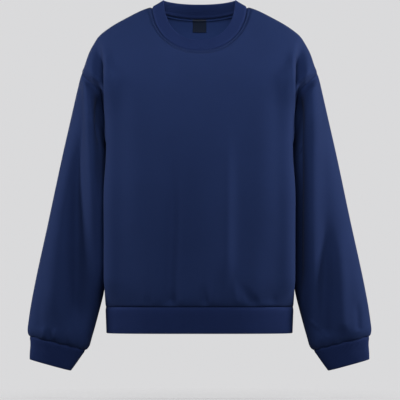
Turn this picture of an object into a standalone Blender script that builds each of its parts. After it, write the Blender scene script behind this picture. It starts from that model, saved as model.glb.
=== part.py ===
"""A crewneck sweatshirt, filled out as on a figure with its arms hanging, and with no one in it.

Each sewn piece is a closed wall of cloth of its own: the front and back panels, two drop-shoulder
sleeves, the folded rib collar, two rib cuffs, the rib waistband and a small woven label.

Frame: +Z up, the front faces -Y, +X is on the viewer's right. The origin is midway between the two
neck points, where the shoulder seams meet the collar. Tables are in millimetres, with heights
measured from there, and a mesh is scaled to metres as it is made.
"""

import bpy
import numpy as np

MM = 0.001

# Cloth
CLOTH = 2.0                  # brushed fleece
RIB_CLOTH = 2.4              # rib knit, doubled, without its ribs
RIB_RISE = 0.8               # a rib over the groove beside it
SEAM_GAP = 0.3
NECK_TRIM = 0.35             # what the straight edges between a panel's points cut off the neck curve

# Neck: the collar seam runs round the neck opening, the folded edge above it
NECK_HALF_WIDTH = 104.5
NECK_FRONT_DROP = 93.5
NECK_BACK_DROP = 18.7
NECK_FRONT_REACH = 75.0
NECK_BACK_REACH = 62.0
EDGE_HALF_WIDTH = 78.0
EDGE_RISE = 14.5
EDGE_FRONT_DROP = 83.8       # below the edge's own highest point
EDGE_BACK_DROP = 8.8
EDGE_FRONT_REACH = 61.0
EDGE_BACK_REACH = 48.0
NECK_SQUARE = 2.15
NECK_TURN = 0.08             # how sharply the neck curve turns over the shoulder
COLLAR_BULGE = 2.0
COLLAR_RIB_STRENGTH = (0.3, 1.0, 0.8)    # at the seam, halfway and at the folded edge

# Body
UNDERARM = -300.0
HEM_SEAM = -657.0
HEM_EDGE = -716.1
HEM_GRIP = 2.2               # how much the waistband narrows on each side
SHOULDER_TIP = -143.5
SIDE_REACH = 78.0            # how far round the side the arm's hollow is felt
ARMPIT_REACH = 27.0
NECK_REACH = 60.0
SLEEVE_REACH = 42.0

SIDE_REACH_CLIMB = 0.35      # share of the yoke's height in which that reach shrinks to the next
FAN_CLIMB = 0.3              # share of the yoke's height in which columns take up the armhole
FAN_CROWDING = 0.35
YOKE_LIFT = 1.5              # how late the rows rise to the shoulder
YOKE_LEAN = 3                # how late the columns turn to the neck
SEAM_SHARE = 0.7             # each side's share of the gap, measured across the slanting armhole

# Mesh counts
BODY_ROWS = 8
YOKE_ROWS = 14
HALF_COLUMNS = 18
NECK_COLUMNS = 9             # of the half columns, those that end on the collar seam
EDGE_CROWDING = 0.42         # columns lie closer together towards the side
SLEEVE_COLUMNS = 2 * YOKE_ROWS   # so that a sleeve meets the panels point to point
SLEEVE_ROWS = 18
SLEEVE_CROWDING = 0.12       # sleeve rows lie closer together at its ends
COLLAR_RIBS = 108
CUFF_RIBS = 54
HEM_RIBS = 216
POINTS_PER_INNER_STEP = 4    # outer points, two to a rib, for each point of the plain inside
CURVE_SAMPLES = 1441         # for measuring along a curve
SHARP_EDGE = 50              # degrees

TORSO_COLUMNS = ("height", "half_width", "front", "back", "square")
TORSO = (
    (0.0, 104.5, 12.0, 30.0, 2.6),
    (-9.9, 134.8, 17.5, 50.0, 2.6),
    (-23.1, 160.9, 26.5, 65.5, 2.6),
    (-36.3, 184.9, 34.5, 76.0, 2.6),
    (-49.5, 204.8, 43.0, 84.0, 2.6),
    (-62.7, 220.9, 52.0, 90.0, 2.65),
    (-75.9, 230.3, 62.0, 95.0, 2.7),
    (-93.5, 240.3, 75.0, 100.5, 2.75),
    (-115.5, 249.0, 86.5, 106.0, 2.8),
    (-143.5, 257.9, 96.5, 111.0, 2.9),
    (-166.0, 247.0, 102.5, 114.0, 3.0),
    (-190.0, 232.5, 107.0, 117.0, 3.1),
    (-220.0, 220.0, 110.5, 119.0, 3.2),
    (-255.0, 214.5, 113.0, 119.5, 3.2),
    (-300.0, 212.5, 115.0, 119.0, 3.2),
    (-340.0, 214.0, 115.0, 117.5, 3.2),
    (-390.0, 218.0, 115.0, 115.0, 3.2),
    (-480.0, 219.0, 112.5, 111.0, 3.2),
    (-590.0, 218.0, 110.0, 107.5, 3.2),
    (-630.0, 214.0, 108.5, 106.0, 3.2),
    (-648.0, 209.5, 105.0, 102.5, 3.2),
    (-657.0, 206.5, 101.0, 98.5, 3.2),
)

SIDE_COLUMNS = ("height", "x", "y")
SIDE_SEAM = (
    (-300.0, 191.0, 10.0),
    (-340.0, 190.0, 10.0),
    (-420.0, 190.5, 10.0),
    (-520.0, 193.0, 9.0),
    (-590.0, 199.0, 6.0),
    (-630.0, 206.0, 2.0),
    (-657.0, 206.5, 0.0),
)

# The armhole seam, from the underarm (0) to the shoulder tip (1), on the front and on the back
ARMHOLE_COLUMNS = ("along", "x", "front_y", "back_y", "height")
ARMHOLE = (
    (0.0, 191.0, 10.0, 10.0, -300.0),
    (0.06, 192.5, -3.0, 23.0, -294.0),
    (0.15, 197.0, -17.0, 37.0, -275.0),
    (0.34, 207.0, -37.0, 58.0, -237.0),
    (0.49, 214.5, -49.0, 69.0, -205.0),
    (0.62, 224.0, -55.0, 71.0, -179.0),
    (0.73, 236.5, -51.0, 62.0, -160.5),
    (0.855, 251.5, -31.0, 36.0, -149.0),
    (1.0, 257.9, 0.0, 0.0, -143.5),
)
ARMHOLE_OUTWARD = (0.93, 0.0, -0.36)

# Sleeve outlines seen from the front, outer and inner
OUTER_COLUMNS = ("height", "x")
OUTER_OUTLINE = (
    (-143.5, 257.9), (-150.7, 260.3), (-168.3, 264.9), (-203.5, 273.5), (-256.3, 285.3),
    (-309.1, 297.4), (-379.5, 312.6), (-467.5, 331.1), (-555.5, 350.5), (-625.9, 365.0),
    (-661.1, 371.4), (-696.3, 376.4), (-713.9, 376.6), (-721.6, 374.0),
)
INNER_OUTLINE = (
    (-300.0, 191.4), (-316.0, 197.0), (-340.0, 200.5), (-378.0, 203.0), (-448.0, 204.5),
    (-525.0, 205.5), (-590.0, 207.0), (-620.0, 209.5), (-643.5, 214.9), (-678.7, 224.2),
    (-713.9, 233.9), (-731.5, 238.9), (-744.0, 243.6), (-752.4, 249.7),
)

# Sections of a sleeve, from the armhole (0) to the cuff seam (1)
SLEEVE_COLUMN_NAMES = ("along", "outer", "inner", "y", "half_depth", "square")
SLEEVE = (
    (0.0, -143.5, -300.0, 6.0, 67.0, 2.3),
    (0.04, -166.0, -315.0, 9.0, 69.0, 2.3),
    (0.1, -200.0, -338.0, 12.0, 70.0, 2.4),
    (0.2, -262.0, -378.0, 15.0, 69.5, 2.5),
    (0.35, -358.0, -448.0, 16.0, 67.0, 2.5),
    (0.5, -452.0, -525.0, 15.0, 63.5, 2.5),
    (0.65, -543.0, -602.0, 11.0, 59.5, 2.5),
    (0.8, -630.0, -681.0, 5.0, 55.0, 2.5),
    (0.9, -681.0, -722.0, 1.0, 51.0, 2.5),
    (0.96, -707.0, -742.0, -2.0, 46.0, 2.5),
    (1.0, -721.6, -752.4, -3.0, 38.0, 2.5),
)

# Sections of a cuff, from its seam (0) to its edge (1)
CUFF_COLUMNS = ("along", "outer_x", "outer_z", "inner_x", "inner_z", "y", "half_depth")
CUFF = (
    (0.0, 374.0, -721.9, 249.8, -752.7, -3.0, 38.0),
    (0.33, 371.6, -738.0, 260.0, -766.2, -3.7, 33.5),
    (0.66, 372.6, -755.5, 272.0, -781.4, -4.4, 30.5),
    (1.0, 372.9, -772.2, 283.8, -796.4, -5.0, 28.5),
)
CUFF_SQUARE = 2.5

# Soft folds, seen from the front or the back: a fold runs from its top to its foot, stands
# "rise" over the cloth (or sinks, if below 0), and fades over these shares of its length.
FOLD_COLUMNS = ("top_x", "top_z", "foot_x", "foot_z", "width", "rise", "top_fade", "foot_fade")
FRONT_FOLDS = (
    (-54.0, -330.0, -80.0, -668.0, 27.0, 3.5, 0.6, 0.15),
    (34.0, -262.0, 12.0, -668.0, 34.0, -6.0, 0.6, 0.05),
    (71.5, -300.0, 74.0, -620.0, 24.0, 4.0, 0.5, 0.4),
    (88.0, -600.0, 128.0, -668.0, 12.0, -3.0, 0.5, 0.1),
    (-150.0, -420.0, -142.0, -668.0, 26.0, -3.0, 0.6, 0.1),
    (220.0, -68.0, 214.0, -215.0, 12.0, -6.0, 0.6, 0.4),
    (-220.0, -68.0, -214.0, -215.0, 12.0, -6.0, 0.6, 0.4),
)
BACK_FOLDS = (
    (-20.0, -250.0, -34.0, -668.0, 36.0, -6.0, 0.6, 0.05),
    (45.0, -330.0, 60.0, -668.0, 28.0, 4.0, 0.6, 0.15),
    (-105.0, -360.0, -98.0, -668.0, 28.0, 4.0, 0.6, 0.15),
    (120.0, -400.0, 128.0, -668.0, 26.0, -4.0, 0.6, 0.1),
    (216.0, -100.0, 211.0, -235.0, 14.0, -4.0, 0.5, 0.4),
    (-216.0, -100.0, -211.0, -235.0, 14.0, -4.0, 0.5, 0.4),
)
# A sleeve's folds are given with x measured outwards from the middle of the garment
SLEEVE_FRONT_FOLDS = {
    "left": (
        (243.0, -190.0, 247.0, -560.0, 19.0, 4.0, 0.4, 0.5),
        (276.0, -300.0, 286.0, -735.0, 21.0, -7.0, 0.4, 0.1),
        (300.0, -380.0, 331.0, -690.0, 17.0, 3.0, 0.4, 0.3),
    ),
    "right": (
        (241.0, -190.0, 262.0, -560.0, 20.0, 5.0, 0.4, 0.5),
        (290.0, -540.0, 277.0, -745.0, 18.0, -7.0, 0.4, 0.05),
        (322.0, -600.0, 333.0, -730.0, 14.0, 4.0, 0.4, 0.2),
    ),
}
SLEEVE_BACK_FOLDS = {
    "left": (
        (262.0, -260.0, 285.0, -700.0, 21.0, -6.0, 0.4, 0.2),
        (300.0, -420.0, 322.0, -740.0, 18.0, 4.0, 0.4, 0.1),
    ),
    "right": (
        (258.0, -240.0, 280.0, -690.0, 21.0, -6.0, 0.4, 0.2),
        (306.0, -460.0, 318.0, -740.0, 18.0, 4.0, 0.4, 0.1),
    ),
}

# Label, sewn under the back of the collar
LABEL_HALF_WIDTH = 15.0
LABEL_TOP = -23.5
LABEL_FOOT = -51.7
LABEL_CLOTH = 1.0
LABEL_CLEARANCE = 0.6

NAVY = (0.0123, 0.0253, 0.0823, 1.0)
NAVY_RIB = (0.0110, 0.0222, 0.0740, 1.0)
LABEL_BLACK = (0.006, 0.008, 0.013, 1.0)

FRONT = -1
BACK = 1


def spline(knots, values, flat_ends=False):
    """The cubic curve through the points, natural at its ends or level there, as a function."""
    count = len(knots)
    step = np.diff(knots)
    slope = np.diff(values) / step
    system = np.eye(count)
    right = np.zeros(count)
    for i in range(1, count - 1):
        system[i, i - 1:i + 2] = step[i - 1], 2 * (step[i - 1] + step[i]), step[i]
        right[i] = 6 * (slope[i] - slope[i - 1])
    if flat_ends:
        system[0, :2] = 2 * step[0], step[0]
        right[0] = 6 * slope[0]
        system[-1, -2:] = step[-1], 2 * step[-1]
        right[-1] = -6 * slope[-1]
    bend = np.linalg.solve(system, right)

    def curve(at):
        at = np.clip(at, knots[0], knots[-1])
        i = np.clip(np.searchsorted(knots, at) - 1, 0, count - 2)
        after = at - knots[i]
        before = knots[i + 1] - at
        cubic = (bend[i] * before**3 + bend[i + 1] * after**3) / (6 * step[i])
        start = values[i] / step[i] - bend[i] * step[i] / 6
        end = values[i + 1] / step[i] - bend[i + 1] * step[i] / 6
        return cubic + start * before + end * after

    return curve


def curves(names, rows, flat=()):
    """A table's columns as smooth functions of its first column."""
    data = np.array(sorted(rows))
    return {
        name: spline(data[:, 0], data[:, i], name in flat)
        for i, name in enumerate(names) if i
    }


torso = curves(TORSO_COLUMNS, TORSO)
side_seam = curves(SIDE_COLUMNS, SIDE_SEAM)
armhole = curves(ARMHOLE_COLUMNS, ARMHOLE, flat=("x", "height"))
outer_outline = curves(OUTER_COLUMNS, OUTER_OUTLINE)["x"]
inner_outline = curves(OUTER_COLUMNS, INNER_OUTLINE)["x"]
sleeve_section = curves(SLEEVE_COLUMN_NAMES, SLEEVE)
cuff_section = curves(CUFF_COLUMNS, CUFF)


def points(x, y, z):
    """Arrays of coordinates joined into one array of points."""
    return np.stack(np.broadcast_arrays(x, y, z), axis=-1)


def rounded(angle, square):
    """Sine and cosine of an angle, pushed out to a rounded square: 2 is a circle."""
    s, c = np.sin(angle), np.cos(angle)
    reach = (np.abs(s)**square + np.abs(c)**square) ** (-1 / square)
    return s * reach, c * reach


def eased(share):
    """0 to 1 with level ends."""
    share = np.clip(share, 0, 1)
    return share * share * (3 - 2 * share)


def run_along(path):
    """Distance run along a line of points."""
    return np.concatenate(([0], np.cumsum(np.linalg.norm(np.diff(path, axis=0), axis=1))))


def pulled(grid, edge, target, reach):
    """A grid whose edge is brought to its target, with the cloth beside it following softly."""
    away = np.linalg.norm(grid - edge, axis=-1)
    return grid + eased(1 - away / reach)[..., None] * (target - edge)


def torso_point(angle, height, side):
    """The body's form: angle 0 on the centre line, a quarter turn at the side."""
    across, forward = rounded(angle, torso["square"](height))
    depth = torso["front" if side == FRONT else "back"](height)
    return points(across * torso["half_width"](height), side * depth * forward, height)


def neck_curve(angle, half_width, top, drops, reaches):
    """A line round the neck. It drops steeply in front and as a shallow bow behind."""
    across, forward = rounded(angle, NECK_SQUARE)
    turn = NECK_TURN
    steep = (np.sqrt(forward**2 + turn**2) - turn) / (np.sqrt(1 + turn**2) - turn)
    in_front = forward > 0
    y = -forward * np.where(in_front, reaches[0], reaches[1])
    z = top - np.where(in_front, drops[0] * steep, drops[1] * forward**2)
    return points(across * half_width, y, z)


def collar_seam(angle):
    return neck_curve(angle, NECK_HALF_WIDTH, 0.0, (NECK_FRONT_DROP, NECK_BACK_DROP),
                      (NECK_FRONT_REACH, NECK_BACK_REACH))


def collar_edge(angle):
    return neck_curve(angle, EDGE_HALF_WIDTH, EDGE_RISE, (EDGE_FRONT_DROP, EDGE_BACK_DROP),
                      (EDGE_FRONT_REACH, EDGE_BACK_REACH))


def armhole_point(along, side):
    """The armhole seam, 0 at the underarm and 1 at the shoulder tip."""
    y = armhole["front_y" if side == FRONT else "back_y"](along)
    return points(armhole["x"](along), y, armhole["height"](along))


def fold_rise(x, z, folds):
    """How far the folds lift the cloth at a place, each a ridge that fades at its ends."""
    total = np.zeros(np.broadcast(x, z).shape)
    for fold in folds:
        f = dict(zip(FOLD_COLUMNS, fold))
        along = (f["top_z"] - z) / (f["top_z"] - f["foot_z"])
        centre = f["top_x"] + (f["foot_x"] - f["top_x"]) * along
        fade = eased(along / f["top_fade"]) * eased((1 - along) / f["foot_fade"])
        total += f["rise"] * fade * np.exp(-((x - centre) / f["width"]) ** 2)
    return total


def grid_normals(grid, closed):
    """Unit normals of a grid whose columns run round to the right as its rows go up."""
    if closed:
        across = np.roll(grid, -1, axis=1) - np.roll(grid, 1, axis=1)
    else:
        across = np.gradient(grid, axis=1)
    up = np.gradient(grid, axis=0, edge_order=2 if len(grid) > 2 else 1)
    normal = np.cross(across, up)
    return normal / np.linalg.norm(normal, axis=-1, keepdims=True)


def panel_form(side):
    """The right half of a body panel: rows from the waistband up, columns from the centre out.

    Below the underarm a row is level. Above it the columns fan out, to end on the collar seam or
    on the shoulder seam, and the last column follows the armhole seam.
    """
    share = np.linspace(0, 1, HALF_COLUMNS + 1)
    fine = np.linspace(0, np.pi / 2, CURVE_SAMPLES)
    run = run_along(torso_point(fine, UNDERARM, side))
    wanted = (1 + EDGE_CROWDING) * share - EDGE_CROWDING * share**2
    base_angle = np.interp(wanted * run[-1], run, fine)

    # Below the underarm
    height = np.linspace(HEM_SEAM, UNDERARM, BODY_ROWS + 1)[:-1, None]
    body = torso_point(base_angle, height, side)
    seam = points(side_seam["x"](height), side_seam["y"](height), height)
    body = pulled(body, body[:, -1:], seam, SIDE_REACH)

    # Where each column ends
    neck_share = share[NECK_COLUMNS]
    neck_angle = np.pi / 2 * share[:NECK_COLUMNS + 1] / neck_share
    if side == BACK:
        neck_angle = np.pi - neck_angle
    neck = collar_seam(neck_angle)
    levels = np.linspace(0, SHOULDER_TIP, CURVE_SAMPLES)
    shoulder = points(torso["half_width"](levels), 0.0, levels)
    run = run_along(shoulder)
    beyond = (share[NECK_COLUMNS + 1:] - neck_share) / (1 - neck_share)
    shoulder_height = np.interp(beyond * run[-1], run, levels)
    top = np.concatenate((neck, points(torso["half_width"](shoulder_height), 0.0, shoulder_height)))
    depth = torso["front" if side == FRONT else "back"](top[:, 2])
    top_angle = np.arctan2(top[:, 0] / torso["half_width"](top[:, 2]), np.abs(top[:, 1]) / depth)

    # The yoke, between the underarm and those ends
    climb = np.linspace(0, 1, YOKE_ROWS + 1)[:, None]
    hole = armhole_point(climb, side)
    hole_x = hole[..., 0] / torso["half_width"](hole[..., 2])
    hole_depth = torso["front" if side == FRONT else "back"](hole[..., 2])
    hole_y = np.clip(side * hole[..., 1], 0, None) / hole_depth
    hole_angle = np.arctan2(hole_x, hole_y) / (np.pi / 2)
    hole_angle[0] = hole_angle[-1] = 1.0
    angle = base_angle + (top_angle - base_angle) * climb**YOKE_LEAN
    angle = angle * (1 - (1 - hole_angle) * eased(climb / FAN_CLIMB) * share**FAN_CROWDING)
    straight = UNDERARM + (SHOULDER_TIP - UNDERARM) * climb
    level = straight + (top[:, 2] - SHOULDER_TIP) * climb**YOKE_LIFT
    level = level + share**2 * (hole[..., 2] - straight)
    yoke = torso_point(angle, level, side)
    reach = ARMPIT_REACH + (SIDE_REACH - ARMPIT_REACH) * eased(1 - climb / SIDE_REACH_CLIMB)
    yoke = pulled(yoke, yoke[:, -1:], hole, reach)
    yoke = pulled(yoke, yoke[-1:], top[None], NECK_REACH)
    return np.concatenate((body, yoke))


def panel_walls(side, folds):
    """Outer and inner points of a whole body panel, its seams trimmed to their gaps."""
    half = panel_form(side)
    mirrored = half[:, :0:-1] * (-1, 1, 1)
    outer = np.concatenate((mirrored, half), axis=1)
    normal = grid_normals(outer, closed=False) * -side
    # Front and back meet at a level edge along the shoulders, and square to it at the sides.
    ends = np.arange(outer.shape[1])
    on_shoulder = np.abs(ends - HALF_COLUMNS) > NECK_COLUMNS
    normal[-1, on_shoulder, 1] = 0
    normal[:BODY_ROWS + 1, (0, -1), 1] = 0
    normal /= np.linalg.norm(normal, axis=-1, keepdims=True)
    outer = outer + fold_rise(outer[..., 0], outer[..., 2], folds)[..., None] * normal
    outer[-1, on_shoulder, 1] += side * SEAM_GAP / 2
    outer[:BODY_ROWS, (0, -1), 1] += side * SEAM_GAP / 2
    outer[0, :, 2] += SEAM_GAP / 2
    on_neck = ~on_shoulder
    down = outer[-2, on_neck] - outer[-1, on_neck]
    outer[-1, on_neck] += down / np.linalg.norm(down, axis=-1, keepdims=True) * NECK_TRIM
    outward = np.array(ARMHOLE_OUTWARD) * SEAM_GAP * SEAM_SHARE
    outer[BODY_ROWS:, -1] -= outward
    outer[BODY_ROWS:, 0] -= outward * (-1, 1, 1)
    outer[BODY_ROWS, (0, -1), 1] += side * SEAM_GAP / 2
    inner = outer - CLOTH * normal
    over = inner[BODY_ROWS + 1:, :, 1]
    over[...] = side * np.maximum(side * over, SEAM_GAP / 2)
    return outer, inner


def sleeve_walls(name):
    """Outer and inner points of a sleeve: rows from the armhole down, columns round it.

    Each section is a rounded oval between the sleeve's two outlines. The first is pulled in to
    the armhole seam, and the cloth swells out of it again below.
    """
    mirror = np.array((1 if name == "right" else -1, 1, 1))
    turn = np.arange(SLEEVE_COLUMNS) / SLEEVE_COLUMNS
    along = np.linspace(0, 1, SLEEVE_ROWS + 1)
    along = (along - SLEEVE_CROWDING * np.sin(2 * np.pi * along) / np.pi)[:, None]
    section = {column: curve(along) for column, curve in sleeve_section.items()}
    outer_point = points(outer_outline(section["outer"]), section["y"], section["outer"])
    inner_point = points(inner_outline(section["inner"]), section["y"], section["inner"])
    forward, outward = rounded(2 * np.pi * turn, section["square"])
    middle = (outer_point + inner_point) / 2
    grid = middle + (outer_point - inner_point) / 2 * outward[..., None]
    grid[..., 1] -= section["half_depth"] * forward
    front_share = 1 - 2 * turn
    seam = np.where((front_share > 0)[:, None],
                    armhole_point(np.clip(front_share, 0, 1), FRONT),
                    armhole_point(np.clip(-front_share, 0, 1), BACK))
    seam = seam + np.array(ARMHOLE_OUTWARD) * SEAM_GAP * SEAM_SHARE
    grid = pulled(grid, grid[:1], seam[None], SLEEVE_REACH)
    normal = grid_normals(grid, closed=True)
    rise = np.where(normal[..., 1] < 0,
                    fold_rise(grid[..., 0], grid[..., 2], SLEEVE_FRONT_FOLDS[name]),
                    fold_rise(grid[..., 0], grid[..., 2], SLEEVE_BACK_FOLDS[name]))
    outer = grid + (rise * np.abs(normal[..., 1]))[..., None] * normal
    inner = outer - CLOTH * normal
    return outer * mirror, inner * mirror


def triangles_between(low, high):
    """Two triangles for each cell between two rows of point numbers, facing out."""
    a, b, c, d = low[:-1], low[1:], high[1:], high[:-1]
    return np.concatenate((np.stack((a, b, c), axis=1), np.stack((a, c, d), axis=1)))


def wall_triangles(rows, closed):
    """The triangles of a grid of point numbers."""
    if closed:
        rows = np.concatenate((rows, rows[:, :1]), axis=1)
    return np.concatenate([triangles_between(low, high) for low, high in zip(rows, rows[1:])])


def rim_triangles(outer, inner):
    """Triangles from a closed outer edge to an inner edge with fewer points, a fan at each."""
    step = len(outer) // len(inner)
    half = step // 2
    faces = []
    for i, near in enumerate(inner):
        following = inner[(i + 1) % len(inner)]
        edge = [outer[(i * step + k) % len(outer)] for k in range(step + 1)]
        faces += [(near, edge[k + 1], edge[k]) for k in range(half)]
        faces.append((near, following, edge[half]))
        faces += [(following, edge[k + 1], edge[k]) for k in range(half, step)]
    return np.array(faces)


def cloth_faces(outer_shape, inner_shape, closed):
    """All triangles of a wall of cloth between its outer and inner grids."""
    outer = np.arange(np.prod(outer_shape)).reshape(outer_shape)
    inner = np.arange(np.prod(inner_shape)).reshape(inner_shape) + outer.size
    faces = [wall_triangles(outer, closed), wall_triangles(inner, closed)[:, ::-1]]
    if closed:
        faces.append(rim_triangles(outer[0], inner[0]))
        faces.append(rim_triangles(outer[-1], inner[-1])[:, ::-1])
        return np.concatenate(faces)
    faces.append(triangles_between(outer[0], inner[0])[:, ::-1])
    faces.append(triangles_between(outer[-1], inner[-1]))
    faces.append(triangles_between(outer[:, 0], inner[:, 0]))
    faces.append(triangles_between(outer[:, -1], inner[:, -1])[:, ::-1])
    return np.concatenate(faces)


def cloth_object(name, outer, inner, closed, material):
    """One piece of cloth as a Blender object, placed by its points."""
    faces = cloth_faces(outer.shape[:2], inner.shape[:2], closed)
    vertices = np.concatenate((outer.reshape(-1, 3), inner.reshape(-1, 3))) * MM
    mesh = bpy.data.meshes.new(name)
    mesh.from_pydata(vertices.tolist(), [], faces.tolist())
    mesh.shade_smooth()
    mesh.set_sharp_from_angle(angle=np.radians(SHARP_EDGE))
    mesh.materials.append(material)
    piece = bpy.data.objects.new(name, mesh)
    bpy.context.collection.objects.link(piece)
    return piece


def facing_out(grid, side_is_mirrored):
    """A grid with its columns turned round where a mirror has turned it inside out."""
    return grid[:, ::-1] if side_is_mirrored else grid


def ribbed(base, normal, rows_ribbed):
    """Every other point raised and the rest sunk, so that ribs run along the columns."""
    sign = np.where(np.arange(base.shape[1]) % 2 == 0, 0.5, -0.5)
    return base + (RIB_RISE * sign * rows_ribbed[:, None])[..., None] * normal


def rib_tube(ring, shares, ribs, rows_ribbed=None):
    """Outer and inner points of a rib tube. ring(turn, share) is its outer line at each share."""
    fine = np.linspace(0, 1, CURVE_SAMPLES)
    run = run_along(ring(fine, shares[len(shares) // 2]))
    count = 2 * ribs
    turn = np.interp(np.arange(count) / count * run[-1], run, fine)
    base = np.stack([ring(turn, share) for share in shares])
    normal = grid_normals(base, closed=True)
    if rows_ribbed is None:
        rows_ribbed = np.ones(len(shares))
    outer = ribbed(base, normal, rows_ribbed)
    inner = (base - RIB_CLOTH * normal)[:, ::POINTS_PER_INNER_STEP]
    return outer, inner


def collar_walls():
    """The collar: from just over its seam, up and in to its folded edge."""
    def ring(turn, share):
        angle = 2 * np.pi * turn
        low, high = collar_seam(angle), collar_edge(angle)
        rise = high - low
        width = np.linalg.norm(rise, axis=-1, keepdims=True)
        around = np.gradient(low, axis=0)
        outward = np.cross(around, rise)
        outward /= np.linalg.norm(outward, axis=-1, keepdims=True)
        start = SEAM_GAP / width
        place = start + (1 - start) * share
        return low + rise * place + outward * COLLAR_BULGE * 4 * place * (1 - place)

    return rib_tube(ring, (0.0, 0.5, 1.0), COLLAR_RIBS, np.array(COLLAR_RIB_STRENGTH))


def hem_walls():
    """The waistband: a straight tube that grips a little at its edge."""
    seam = HEM_SEAM - SEAM_GAP / 2

    def ring(turn, share):
        across, forward = rounded(2 * np.pi * turn, torso["square"](HEM_SEAM))
        grip = HEM_GRIP * (1 - share)
        front = torso["front"](HEM_SEAM) - grip
        back = torso["back"](HEM_SEAM) - grip
        half_width = torso["half_width"](HEM_SEAM) - grip
        y = -forward * np.where(forward > 0, front, back)
        return points(across * half_width, y, HEM_EDGE + (seam - HEM_EDGE) * share)

    return rib_tube(ring, (0.0, 1.0), HEM_RIBS)


def cuff_walls(name):
    """A cuff: it narrows from the gathered sleeve to the wrist."""
    def ring(turn, share):
        section = {column: curve(share) for column, curve in cuff_section.items()}
        outer_point = np.array((section["outer_x"], section["y"], section["outer_z"]))
        inner_point = np.array((section["inner_x"], section["y"], section["inner_z"]))
        forward, outward = rounded(2 * np.pi * turn, CUFF_SQUARE)
        ring_points = (outer_point + inner_point) / 2 + np.outer(outward, (outer_point - inner_point) / 2)
        ring_points[:, 1] -= section["half_depth"] * forward
        return ring_points

    mirror = np.array((1 if name == "right" else -1, 1, 1))
    outer, inner = rib_tube(ring, (0.0, 0.5, 1.0), CUFF_RIBS)
    return outer * mirror, inner * mirror


def label_walls(back_inner):
    """A small label on the inside of the back, made from the panel's own points, moved in."""
    across = np.array((-LABEL_HALF_WIDTH, 0.0, LABEL_HALF_WIDTH))
    heights = np.linspace(LABEL_FOOT, LABEL_TOP, 4)
    rows = back_inner[BODY_ROWS:]
    beside = rows[:, HALF_COLUMNS + 1]
    centre = rows[:, HALF_COLUMNS]
    y_beside = np.interp(heights, beside[:, 2], beside[:, 1])
    x_beside = np.interp(heights, beside[:, 2], beside[:, 0])
    y_centre = np.interp(heights, centre[:, 2], centre[:, 1])
    share = np.abs(across) / x_beside[:, None]
    y = y_centre[:, None] * (1 - share) + y_beside[:, None] * share - LABEL_CLEARANCE
    wall = points(across, y, heights[:, None])
    return wall, wall - (0, LABEL_CLOTH, 0)


def finish(name, colour, roughness):
    """A plain cloth finish."""
    material = bpy.data.materials.new(name)
    material.use_nodes = True
    shader = material.node_tree.nodes["Principled BSDF"]
    shader.inputs["Base Color"].default_value = colour
    shader.inputs["Roughness"].default_value = roughness
    shader.inputs["Metallic"].default_value = 0.0
    return material


for old in list(bpy.data.objects):
    bpy.data.objects.remove(old)

fleece = finish("fleece", NAVY, 0.95)
rib = finish("rib", NAVY_RIB, 0.95)
woven = finish("label", LABEL_BLACK, 0.6)

front_outer, front_inner = panel_walls(FRONT, FRONT_FOLDS)
cloth_object("front", front_outer, front_inner, False, fleece)

back_outer, back_inner = panel_walls(BACK, BACK_FOLDS)
cloth_object("back", facing_out(back_outer, True), facing_out(back_inner, True), False, fleece)

for name in ("left", "right"):
    turned = name == "left"
    sleeve_outer, sleeve_inner = (facing_out(wall, turned) for wall in sleeve_walls(name))
    cloth_object("sleeve_" + name, sleeve_outer, sleeve_inner, True, fleece)
    cuff_outer, cuff_inner = cuff_walls(name)
    if turned:
        # The ribs' first point stays first, so that each inner point still backs a rib.
        cuff_outer, cuff_inner = (np.roll(wall[:, ::-1], 1, axis=1) for wall in (cuff_outer, cuff_inner))
    cloth_object("cuff_" + name, cuff_outer, cuff_inner, True, rib)

collar_outer, collar_inner = collar_walls()
cloth_object("neck_rib", collar_outer, collar_inner, True, rib)

hem_outer, hem_inner = hem_walls()
cloth_object("hem_rib", hem_outer, hem_inner, True, rib)

label_outer, label_inner = label_walls(back_inner)
cloth_object("neck_label", facing_out(label_outer, True), facing_out(label_inner, True), False, woven)
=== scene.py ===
"""The looks of a crewneck sweatshirt: fleece body and sleeves, rib collar, cuffs and waistband.

Tables and formulas are in millimetres in the part's frame: +Z up, the front faces -Y, +X on the
viewer's right, the origin midway between the neck points. Meshes are scaled to metres when made.
"""

import math

import bpy
import mathutils
import numpy as np
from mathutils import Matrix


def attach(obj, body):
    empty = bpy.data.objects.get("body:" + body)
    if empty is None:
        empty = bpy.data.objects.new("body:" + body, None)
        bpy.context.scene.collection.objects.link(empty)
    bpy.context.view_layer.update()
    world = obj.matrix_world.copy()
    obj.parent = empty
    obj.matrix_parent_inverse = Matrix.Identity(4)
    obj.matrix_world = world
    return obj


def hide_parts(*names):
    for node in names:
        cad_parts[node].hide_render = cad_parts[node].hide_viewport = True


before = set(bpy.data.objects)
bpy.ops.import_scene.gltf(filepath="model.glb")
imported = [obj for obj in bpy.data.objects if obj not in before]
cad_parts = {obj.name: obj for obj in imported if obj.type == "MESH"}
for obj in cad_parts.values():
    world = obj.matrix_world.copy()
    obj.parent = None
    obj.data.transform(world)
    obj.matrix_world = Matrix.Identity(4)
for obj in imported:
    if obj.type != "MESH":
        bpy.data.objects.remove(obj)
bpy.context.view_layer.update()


# Camera ------------------------------------------------------------------------------------------
# Level with the middle of the garment and far off through a long lens, so that the waistband and
# the cuffs keep their true outline.
LENS = 500.0
SENSOR = 36.0
FAR_LIMIT = 100.0
VIEW_WIDTH = 0.880
VIEW_CENTRE = (0.0011, -0.4224)

camera_data = bpy.data.cameras.new("camera")
camera_data.lens = LENS
camera_data.sensor_width = SENSOR
camera_data.clip_end = FAR_LIMIT
camera = bpy.data.objects.new("camera", camera_data)
camera.location = (VIEW_CENTRE[0], -VIEW_WIDTH * LENS / SENSOR, VIEW_CENTRE[1])
camera.rotation_euler = (math.pi / 2, 0.0, 0.0)
bpy.context.collection.objects.link(camera)
bpy.context.scene.camera = camera


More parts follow.
